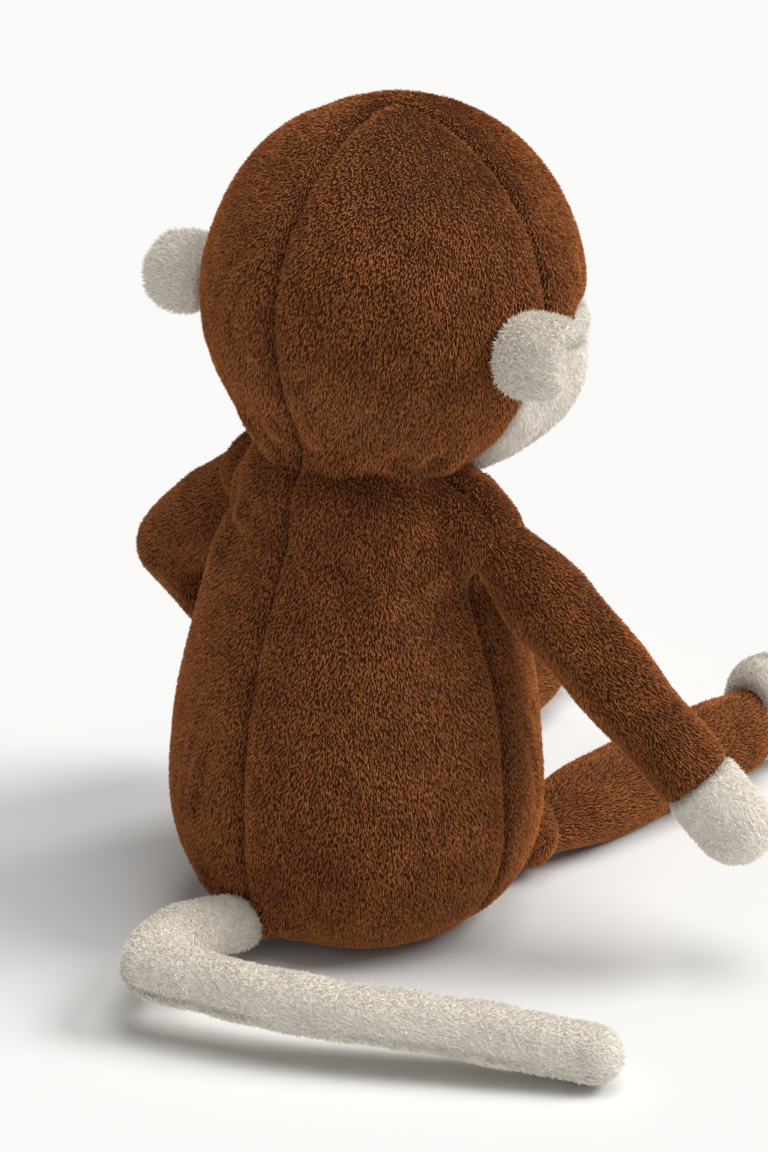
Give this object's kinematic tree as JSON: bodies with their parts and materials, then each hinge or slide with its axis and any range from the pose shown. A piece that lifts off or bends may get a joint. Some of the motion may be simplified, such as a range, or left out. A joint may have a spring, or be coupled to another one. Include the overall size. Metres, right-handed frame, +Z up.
{
  "type": "stuffed monkey",
  "caption": "Seated plush monkey with a pear-shaped body, round head with cupped ears, soft jointed limbs and a long curled tail.",
  "frame": {"origin": "middle of the flat seat gusset that the toy sits on", "axes": "+Z up, the toy faces -Y, its left side is +X"},
  "size_m": [0.2396, 0.3033, 0.261],
  "materials": {
    "brown_plush": "matte",
    "cream_plush": "matte",
    "polyester_fill": "matte",
    "pellet_bag": "matte",
    "eyes": "gloss",
    "washers": "satin",
    "embroidery": "satin"
  },
  "bodies": {
    "torso": {"body_back_left": "brown_plush", "body_back_right": "brown_plush", "body_belly_panel": "brown_plush", "seat_gusset": "brown_plush", "body_stuffing": "polyester_fill", "pellet_bag": "pellet_bag"},
    "neck": {"neck_stuffing": "polyester_fill"},
    "head": {"head_back_left": "brown_plush", "head_back_right": "brown_plush", "brow_panel": "brown_plush", "muzzle_panel": "cream_plush", "head_stuffing": "polyester_fill", "left_eye": "eyes", "right_eye": "eyes", "left_eye_washer": "washers", "right_eye_washer": "washers", "nose": "embroidery", "mouth": "embroidery", "left_ear_back": "cream_plush", "left_ear_front": "cream_plush", "right_ear_back": "cream_plush", "right_ear_front": "cream_plush"},
    "tail_root": {"tail_root_cover": "cream_plush", "tail_root_stuffing": "polyester_fill"},
    "tail_end": {"tail_end_cover": "cream_plush", "tail_end_stuffing": "polyester_fill"},
    "left_upper_arm": {"left_upper_sleeve": "brown_plush", "left_upper_arm_stuffing": "polyester_fill"},
    "left_forearm": {"left_lower_sleeve": "brown_plush", "left_hand": "cream_plush", "left_forearm_stuffing": "polyester_fill"},
    "left_leg": {"left_leg_sleeve": "brown_plush", "left_foot": "cream_plush", "left_sole": "cream_plush", "left_leg_stuffing": "polyester_fill"},
    "right_upper_arm": {"right_upper_sleeve": "brown_plush", "right_upper_arm_stuffing": "polyester_fill"},
    "right_forearm": {"right_lower_sleeve": "brown_plush", "right_hand": "cream_plush", "right_forearm_stuffing": "polyester_fill"},
    "right_leg": {"right_leg_sleeve": "brown_plush", "right_foot": "cream_plush", "right_sole": "cream_plush", "right_leg_stuffing": "polyester_fill"}
  },
  "joints": [
    {"name": "neck_turn", "type": "hinge", "parent": "torso", "child": "neck", "pos_m": [0, 0, 0.14], "axis": [0, 0, 1], "range_deg": [-35, 35]},
    {"name": "head_nod", "type": "hinge", "parent": "neck", "child": "head", "pos_m": [0, 0, 0.14], "axis": [1, 0, 0], "range_deg": [-10, 6]},
    {"name": "left_shoulder", "type": "hinge", "parent": "torso", "child": "left_upper_arm", "pos_m": [0.047, -0.006, 0.134], "axis": [1, 0, 0], "range_deg": [-80, 40]},
    {"name": "right_shoulder", "type": "hinge", "parent": "torso", "child": "right_upper_arm", "pos_m": [-0.047, -0.006, 0.134], "axis": [1, 0, 0], "range_deg": [-80, 40]},
    {"name": "left_elbow", "type": "hinge", "parent": "left_upper_arm", "child": "left_forearm", "pos_m": [0.08639, -0.01366, 0.09787], "axis": [-0.3372, 0.7766, -0.5322], "range_deg": [-55, 5]},
    {"name": "right_elbow", "type": "hinge", "parent": "right_upper_arm", "child": "right_forearm", "pos_m": [-0.08182, -0.01799, 0.09451], "axis": [-0.7609, 0.0963, 0.6417], "range_deg": [0, 70]},
    {"name": "left_hip", "type": "hinge", "parent": "torso", "child": "left_leg", "pos_m": [0.031, -0.048, 0.0145], "axis": [-1, 0, 0], "range_deg": [0, 15]},
    {"name": "right_hip", "type": "hinge", "parent": "torso", "child": "right_leg", "pos_m": [-0.031, -0.048, 0.0145], "axis": [-1, 0, 0], "range_deg": [0, 15]},
    {"name": "tail_swing", "type": "hinge", "parent": "torso", "child": "tail_root", "pos_m": [0.005, 0.056, 0.012], "axis": [0, 0, 1], "range_deg": [-4, 15]},
    {"name": "tail_fold", "type": "hinge", "parent": "tail_root", "child": "tail_end", "pos_m": [-0.004, 0.107, 0.02], "axis": [0, 0, 1], "range_deg": [-70, 8]}
  ]
}
